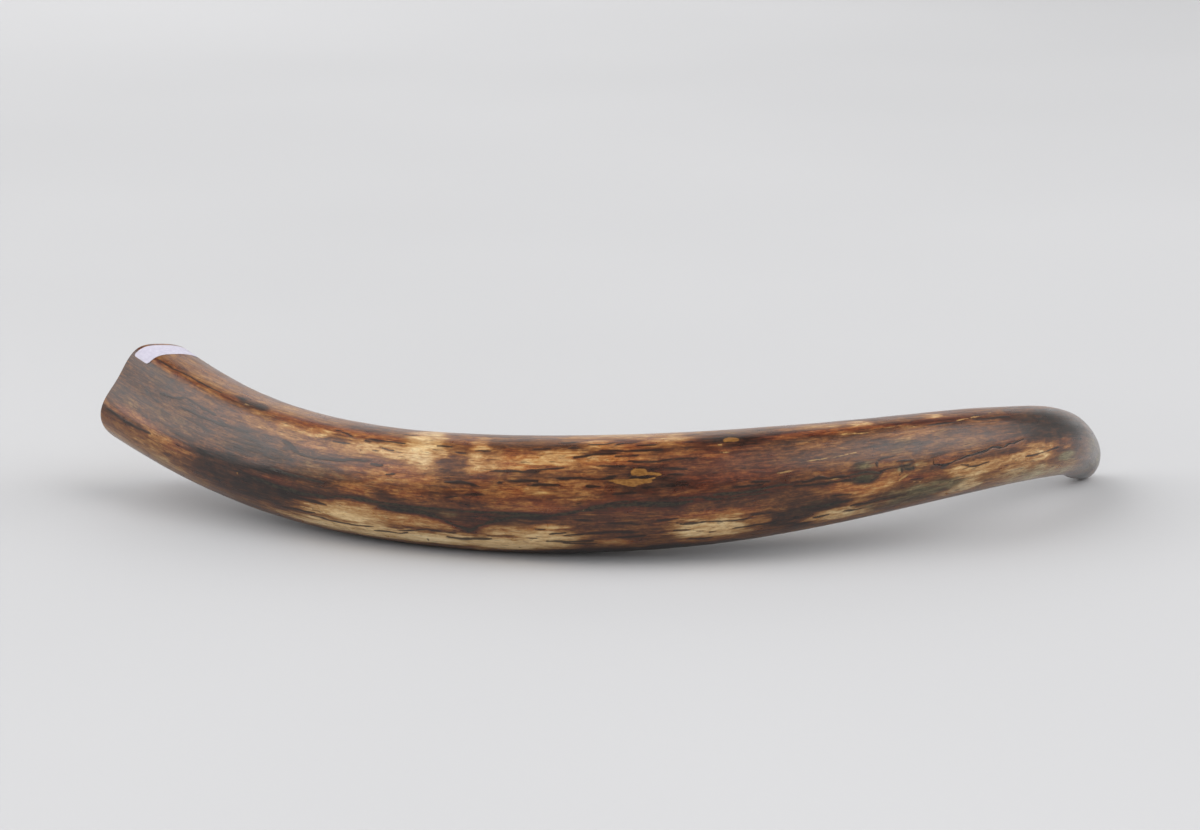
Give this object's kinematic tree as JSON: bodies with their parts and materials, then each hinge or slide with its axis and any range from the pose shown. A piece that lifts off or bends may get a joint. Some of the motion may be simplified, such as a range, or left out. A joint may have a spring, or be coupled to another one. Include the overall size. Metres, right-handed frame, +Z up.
{
  "type": "mammoth tusk",
  "caption": "Polished fossil mammoth tusk: a long C-shaped curve with a slight twist, thick and sawn flat at the root, tapering to a blunt tip, with a small blank paper label by the cut.",
  "frame": {"origin": "on the surface that the tusk lies on, under the middle of its bounding box", "axes": "+Z up; +X along the tusk's longest extent, from the sawn root end at -X to the tip at +X; the curve bulges towards -Y and both ends turn back towards +Y"},
  "size_m": [0.6709, 0.2189, 0.1006],
  "materials": {
    "fossil_ivory": "polished to a satin gloss; dark brown bark with cream, honey and ochre patches, dark veins and fine lengthwise streaks",
    "label_paper": "matt pale lavender white, blank"
  },
  "bodies": {
    "root": {"tusk": "fossil_ivory", "paper_label": "label_paper"}
  },
  "joints": []
}
